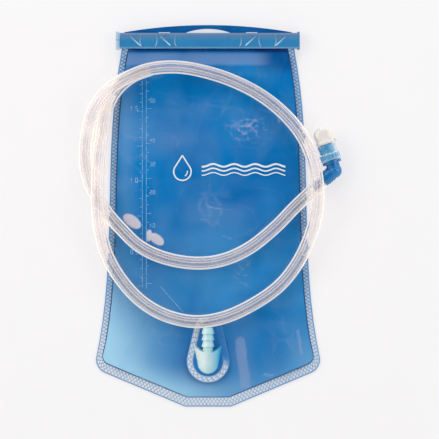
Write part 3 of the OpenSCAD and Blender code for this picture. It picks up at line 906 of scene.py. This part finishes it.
def add_scale():
    """The measuring scale: two long lines, their marks with every fourth one longer, and the numbers."""
    lines = [([(x, SCALE_LOW), (x, SCALE_HIGH)], SCALE_LINE_W) for x in (SCALE_LEFT, SCALE_RIGHT)]
    for k in range(MARKS):
        reach = LONG_MARK if k % 4 == 0 else SHORT_MARK
        right_y = SCALE_LOW + FIRST_MARK + k * MARK_PITCH
        left_y = right_y - MARK_SHIFT
        lines.append(([(SCALE_RIGHT, right_y), (SCALE_RIGHT + reach, right_y)], MARK_W))
        lines.append(([(SCALE_LEFT, left_y), (SCALE_LEFT - reach, left_y)], MARK_W))
    add_ribbons("scale_lines", lines + [SLANT], SCALE)
    numbers = []
    for x, height, width, column in NUMBER_COLUMNS:
        for text, y in column:
            numbers += number_lines(text, (x, y), height, width)
    add_ribbons("scale_numbers", numbers, SCALE)


def add_mark():
    """A plain water drop and three waves, printed white."""
    drop = [DROP_TIP] + arc_points(DROP_CENTRE, DROP_R, 40, -220, 30) + [DROP_TIP]
    glint = arc_points(DROP_CENTRE, GLINT_R, -60, 10, 8)
    lines = [(drop, 1.1), (glint, 0.9)]
    xs = np.linspace(WAVE_START, WAVE_END, 60)
    wave = WAVE_HEIGHT * np.sin(2 * math.pi * xs / WAVE_LENGTH)
    for k, width in enumerate(WAVE_WIDTHS):
        lines.append((np.column_stack([xs, WAVE_TOP - WAVE_PITCH * k + wave]), width))
    add_ribbons("drop_and_waves", lines, PRINT)


add_scale()
add_mark()

# ---- slider

# The slider's box, its wall and half the slot that the rails run in
SLIDER = {"left": -70.6, "right": 73.0, "low": 134.1, "high": 146.5, "height": 10, "wall": 1.6, "slot": 1.0}
# The channel: its open and its closed end are drawn in a little, and it has sections in between
END_SCALES = (0.96, 0.98)
END_LEN = 0.4
CHANNEL_SECTIONS = 40
# The plate on its closed end: past the channel's sides and short of its faces, and its X places and sizes
CAP_MARGIN = 1
CAP_SECTIONS = ((71.0, 0.8), (71.4, 0.97), (72.0, 1.0), (73.0, 1.0), (73.4, 0.95))

# Places of the chevrons and the bows on the left, and which way each bow bends. The right mirrors them.
CHEVRON_PLACES = (-62.3, -38.2)
BOW_PLACES = ((-54.4, -1), (-40.8, 1), (-26.6, -1))
BOW_R = 9.4
RIDGE_H = 0.65
RIDGE_STEP = 0.5


def channel_half(sign):
    """Outline in Y and Z of the slider's upper half, or its lower half where sign is -1."""
    low, high, wall, mid = SLIDER["low"], SLIDER["high"], SLIDER["wall"], SLIDER["height"] / 2
    base, top = SLIDER["slot"], mid
    outline = [(low, base), (low, top - 0.9), (low + 1.2, top - 0.5), (low + 2.4, top - 0.15),
               ((low + high) / 2, top), (high - 1.2, top - 0.35), (high, top - 1.2), (high, base),
               (high - wall, base), (high - wall, top - wall), (low + wall, top - wall), (low + wall, base)]
    points = rounded(outline, 0.4)
    return np.column_stack([points[:, 0], mid + sign * points[:, 1]])


def ridge(points, width, height, base_z):
    """A half-round bead along the points: vertices and faces."""
    line, _ = even_line(np.array(points, float), RIDGE_STEP)
    along = directions(line)
    side = np.stack([-along[:, 1], along[:, 0]], -1)
    turns = np.linspace(0, math.pi, 7)
    ends = np.clip(np.minimum(np.arange(len(line)), np.arange(len(line))[::-1]) / 2, 0.25, 1)
    rows = []
    for p, s, e in zip(line, side, ends):
        place = p + np.outer(np.cos(turns) * width / 2 * e, s)
        rows.append(np.column_stack([place, base_z - 0.1 + np.sin(turns) * height * e]))
    return np.concatenate(rows), grid_faces(len(rows), len(turns))


def relief_lines():
    """Chevrons and bows, mirrored from the left to the right: points, width and how much they shine."""
    y = SLIDER["low"]
    lines = []
    for side in (1, -1):
        for x in CHEVRON_PLACES:
            lines.append(([(side * (x + 5.6), y + 11.4), (side * x, y + 9.6)], 0.7, 0.3))
            lines.append(([(side * x, y + 9.6), (side * (x + 8.4), y + 1.9)], 1.15, 0.95))
        for x, bend in BOW_PLACES:
            arc = arc_points((x - bend * BOW_R, y + 6.2), BOW_R, 32, -32)
            arc = [(px if bend > 0 else 2 * (x + BOW_R) - px, py) for px, py in arc]
            lines.append(([(side * px, py) for px, py in arc], 0.85, 0.55))
    return lines


def scaled_sections(outline, places):
    """The outline at each place along X, drawn in about its middle by the scale that goes with it."""
    centre = outline.mean(0)
    return [np.column_stack([np.full(len(outline), x), centre + scale * (outline - centre)])
            for x, scale in places]


def add_slider():
    """The slider: two halves of its channel, the plate on its closed end, and the relief."""
    mid = SLIDER["height"] / 2
    between = np.linspace(-68, 70, CHANNEL_SECTIONS)
    xs = [SLIDER["left"], SLIDER["left"] + END_LEN, *between, SLIDER["right"] - END_LEN / 2]
    scales = [END_SCALES[0]] + [1.0] * (len(xs) - 2) + [END_SCALES[1]]
    verts, faces, grey_sheens, crest_highlights = [], [], [], []

    def take(made, quads, grey_sheen, crest_highlight, flip=False):
        faces.extend(moved_faces(quads, sum(len(v) for v in verts), flip))
        verts.append(made)
        grey_sheens.append(grey_sheen)
        crest_highlights.append(crest_highlight)

    for sign in (1, -1):
        made, quads = lofted(scaled_sections(channel_half(sign)[::sign], zip(xs, scales)))
        # Painted grey reflection on the side away from the bag, and a painted highlight along the lower lip
        grey_sheen = smoothstep((made[:, 1] - SLIDER["low"] - 5.2) / 6) * 0.85
        highlight = 0.4 * smoothstep(1 - (made[:, 1] - SLIDER["low"]) / 1.3) * (made[:, 2] > mid)
        take(made, quads, grey_sheen, highlight)
    low, high = SLIDER["low"] - CAP_MARGIN, SLIDER["high"] + CAP_MARGIN
    bottom, top = CAP_MARGIN, SLIDER["height"] - CAP_MARGIN
    cap = rounded([(low, bottom), (low, top), (high, top), (high, bottom)], 1.2)
    made, quads = lofted(scaled_sections(cap, CAP_SECTIONS))
    # The end plate gets part of the painted grey reflection
    take(made, quads, np.full(len(made), 0.35), np.zeros(len(made)))
    for points, width, shine in relief_lines():
        made, quads = ridge(points, width, RIDGE_H, SLIDER["height"] - 0.25)
        # Painted highlight on the relief, brightest towards the lower ends of its lines
        low_part = smoothstep((SLIDER["low"] + 9 - made[:, 1]) / 6)
        take(made, quads, np.full(len(made), 0.5), shine * (0.25 + 0.75 * low_part), flip=True)
    slider = add_piece("slider_shell", np.concatenate(verts), faces, slider_material(), "slider")
    slider.data.set_sharp_from_angle(angle=math.radians(50))
    set_attribute(slider, "painted_grey_sheen", np.concatenate(grey_sheens))
    set_attribute(slider, "crest_highlight", np.concatenate(crest_highlights))
    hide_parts("slider")


add_slider()

# ---- bite valve

# The valve's axis runs from the elbow's corner along VALVE_DIR, and heights are measured along it
VALVE_ANGLE = math.radians(108)
VALVE_DIR = np.array([math.cos(VALVE_ANGLE), math.sin(VALVE_ANGLE), 0])
VALVE_SIDE = np.array([math.sin(VALVE_ANGLE), -math.cos(VALVE_ANGLE), 0])
COLLAR_START = 8.7
COLLAR_END = 21.9
GRIP_LEN = 5.5
GRIP_FLUTES = 18
FLUTE_DEPTH = 0.055
MOUTH_BASE = COLLAR_END + 0.3
MOUTH_DOME = MOUTH_BASE + 7.4
DOME_H = 7.55


def valve_rings(profile, sides, flutes=None, flat=None):
    """Rings round the valve's axis from (height, radius) pairs, with flutes or two flats cut in."""
    turns = even_turns(sides)
    rings = []
    for height, radius in profile:
        around = radius * (flutes(turns, height, radius) if flutes else np.ones(sides))
        up = around * np.sin(turns)
        if flat:
            up = np.clip(up, -flat(height), flat(height))
        rings.append(ELBOW_CORNER + height * VALVE_DIR + np.outer(around * np.cos(turns), VALVE_SIDE)
                     + np.outer(up, [0, 0, 1]))
    return rings


def add_collar():
    """The collar: a fluted grip ring, a plain upper ring and the nozzle."""
    start, end, step = COLLAR_START, COLLAR_END, COLLAR_START + GRIP_LEN
    outer = [(start, 8.0), (start + 0.3, 8.4), (start + 1.3, 8.45), (start + 1.6, 8.15), (start + 2.4, 8.2),
             (step - 0.9, 8.3), (step - 0.3, 8.4), (step, 8.1), (step + 0.3, 7.4), (step + 0.8, 7.2),
             (end - 3.4, 7.3), (end - 2.9, 7.55), (end - 0.4, 7.55), (end, 7.2), (end + 0.05, 5.2),
             (end + 0.3, 4.95), (end + 4.6, 4.9), (end + 4.95, 4.6)]
    bore = [(end + 4.95, 2.05), (start + 9.3, 2.05), (start + 9.3, 4.28), (start, 4.28)]

    def flutes(turns, height, radius):
        grip = smoothstep((height - start - 1.2) / 0.8) * smoothstep((step - height) / 0.8) * (radius > 6)
        return 1 - FLUTE_DEPTH * grip * (0.5 + 0.5 * np.cos(GRIP_FLUTES * turns)) ** 2

    verts, faces = skin(valve_rings(outer + bore, 144, flutes))
    collar = add_piece("collar_shell", verts, faces, collar_material(), "collar")
    collar.data.set_sharp_from_angle(angle=math.radians(45))
    heights = (verts - ELBOW_CORNER) @ VALVE_DIR
    aside = (verts - ELBOW_CORNER) @ VALVE_SIDE
    # Painted highlights at the two lips and on the side away from the bag
    low_lip = smoothstep(1 - np.abs(heights - start - 0.7) / 0.9)
    high_lip = smoothstep(1 - np.abs(heights - step + 0.2) / 0.7)
    pale_side = smoothstep((aside - 2.5) / 4) * smoothstep((heights - step) / 1.5)
    set_attribute(collar, "highlight", np.clip(0.85 * (low_lip + high_lip + 0.7 * pale_side), 0, 0.9))
    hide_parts("valve_collar")
    return collar


def add_mouthpiece():
    """The bite valve: a soft dome with two flats for the teeth and a lug at its base."""
    base, dome = MOUTH_BASE, MOUTH_DOME
    rise = np.linspace(0, math.pi / 2, 14)[:-1]
    outer = [(base, 7.1), (base + 0.3, 7.5), (base + 2.2, 7.6), (base + 2.7, 7.2), (base + 3.4, 7.05),
             (base + 4.6, 7.25)]
    outer += [(dome + DOME_H * math.sin(a), 7.5 * math.cos(a)) for a in rise] + [(dome + DOME_H, 0.15)]
    hollow = [(dome + 4.2, 0.15), (dome + 3.2, 2.6), (dome, 4.3), (base + 5, 4.4), (base + 5, 5.06),
              (base, 5.06)]

    def half_thickness(height):
        return 7.6 - 1.3 * smoothstep((height - base - 2.4) / 3)

    verts, faces = skin(valve_rings(outer + hollow, 96, flat=half_thickness))
    lug_rings = []
    for out, half, tall in ((6.4, 1.5, 1.3), (8.4, 1.5, 1.3), (9.0, 1.35, 1.15), (9.2, 0.9, 0.8)):
        ring = rounded([(0.1, -tall), (0.1, tall), (2 * half, tall), (2 * half, -tall)], 0.7)
        lug_rings.append(ELBOW_CORNER + out * VALVE_SIDE + np.outer(base + ring[:, 0], VALVE_DIR)
                         + np.outer(ring[:, 1], [0, 0, 1]))
    lug, lug_faces = lofted(lug_rings)
    faces += moved_faces(lug_faces, len(verts))
    piece = add_piece("bite_valve", np.concatenate([verts, lug]), faces, silicone_material(), "mouthpiece")
    piece.data.set_sharp_from_angle(angle=math.radians(60))
    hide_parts("mouthpiece")
    return piece


collar = add_collar()
mouthpiece = add_mouthpiece()

# ---- outlet patch

# The patch: its two end circles, the width of its weld, the heights of its foot and face, and its diamonds
OUTLET_Y = FOOT_Y + 36.5
PATCH = {"low_r": 17.3, "top_r": 11.5, "top_y": OUTLET_Y + 25.5, "weld": 5.2, "base": 2, "face": 5.2}
PATCH_POINTS = 260
PATCH_CELLS = 30
PATCH_PITCH = 3.6
PATCH_RELIEF = 0.35


def teardrop(inset):
    """Points round the patch's outline, moved in by inset, and evenly spaced."""
    low_r, top_r = PATCH["low_r"] - inset, PATCH["top_r"] - inset
    lean = math.degrees(math.asin((PATCH["low_r"] - PATCH["top_r"]) / (PATCH["top_y"] - OUTLET_Y)))
    points = arc_points((0, OUTLET_Y), low_r, 180 - lean, 360 + lean, 60)
    points += arc_points((0, PATCH["top_y"]), top_r, lean, 180 - lean, 40)
    points.append(points[0])
    line, _ = even_line(np.array(points), 0.2)
    return line[np.linspace(0, len(line) - 1, PATCH_POINTS + 1).round().astype(int)[:-1]]


def add_patch():
    """The outlet's film patch: a knurled ring welded to the bag round a smooth middle."""
    insets = [0, 0, *np.linspace(0.25, PATCH["weld"], 20), 5.6, 6.4, 8.5, 10.9]
    heights = [PATCH["base"] + 0.6, PATCH["face"] - 0.5] + [PATCH["face"] + 0.05] * (len(insets) - 2)
    outer = teardrop(0)
    length = np.linalg.norm(np.diff(outer, axis=0, append=outer[:1]), axis=1)
    along = np.cumsum(length) / length.sum() * PATCH_CELLS * PATCH_PITCH
    faded = 0.9 * smoothstep((outer[:, 0] + 3) / 10) * smoothstep((outer[:, 1] - OUTLET_Y + 9) / 12)
    rows, knurls, lines = [], [], []
    for inset, height in zip(insets, heights):
        pattern = (1 - faded) * knurl(along, np.full(len(along), inset), PATCH_PITCH)
        raised = pattern * smoothstep(min(inset, PATCH["weld"] - inset) / 0.5)
        rows.append(np.column_stack([teardrop(inset), height + PATCH_RELIEF * raised]))
        knurls.append(raised)
        edge = max(1 - abs(inset - 0.1), smoothstep((inset - PATCH["weld"]) / 0.4), 0)
        lines.append(np.maximum(edge, faded))
    faces = moved_faces(grid_faces(len(rows), PATCH_POINTS, wrap=True), 0, flip=True)
    patch = add_piece("outlet_film_patch", np.concatenate(rows), faces, WELD)
    set_attribute(patch, "knurl", np.concatenate(knurls))
    set_attribute(patch, "line", np.concatenate(lines))
    # Painted light coming through the patch, as on the weld at the foot
    set_attribute(patch, "paleness", np.full(len(rows) * len(outer), 0.8))
    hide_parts("outlet_patch")


add_patch()

# ---- pieces that keep their CAD shape

RAIL = moulded("rail_plastic", (0.55, 0.75, 0.9), (0.45, 0.65, 0.85), 0.3)
HANGER = moulded("hanger_plastic", (0.006, 0.16, 0.45), (0.002, 0.10, 0.34), 0.22)
ELBOW = moulded("elbow_plastic", (0.008, 0.25, 0.62), (0.003, 0.16, 0.46), 0.22, Coat_Weight=0.3)
SEAL = moulded("seal_rubber", (0.05, 0.05, 0.05), (0.03, 0.03, 0.03), 0.6)

repaint("front_rail", RAIL)
repaint("back_rail", RAIL)
repaint("hanger_strip", HANGER)
repaint("outlet_fitting", fitting_material())
repaint("valve_elbow", ELBOW)
repaint("valve_o_rings", SEAL)

# ---- floor

# In metres: half its width, and how far it lies under the bag
FLOOR_HALF = 4
FLOOR_DROP = 0.0008


def add_floor():
    """Pale paper under the bag, which glows a little so that it renders near white."""
    mesh = bpy.data.meshes.new("floor")
    corners = [(FLOOR_HALF * x, FLOOR_HALF * y, 0) for x, y in ((-1, -1), (1, -1), (1, 1), (-1, 1))]
    mesh.from_pydata(corners, [], [(0, 1, 2, 3)])
    s = Shader("pale_paper")
    s.colour(s.mix(s.noise(30, 2), (0.40, 0.395, 0.40), (0.42, 0.415, 0.42)))
    s.set(Roughness=0.9, Specular_IOR_Level=0.1)
    s.set(Emission_Color=(1.0, 0.985, 0.99, 1), Emission_Strength=0.58)
    mesh.materials.append(s.material)
    floor = add_object("floor", mesh)
    floor.location.z = -FLOOR_DROP


add_floor()
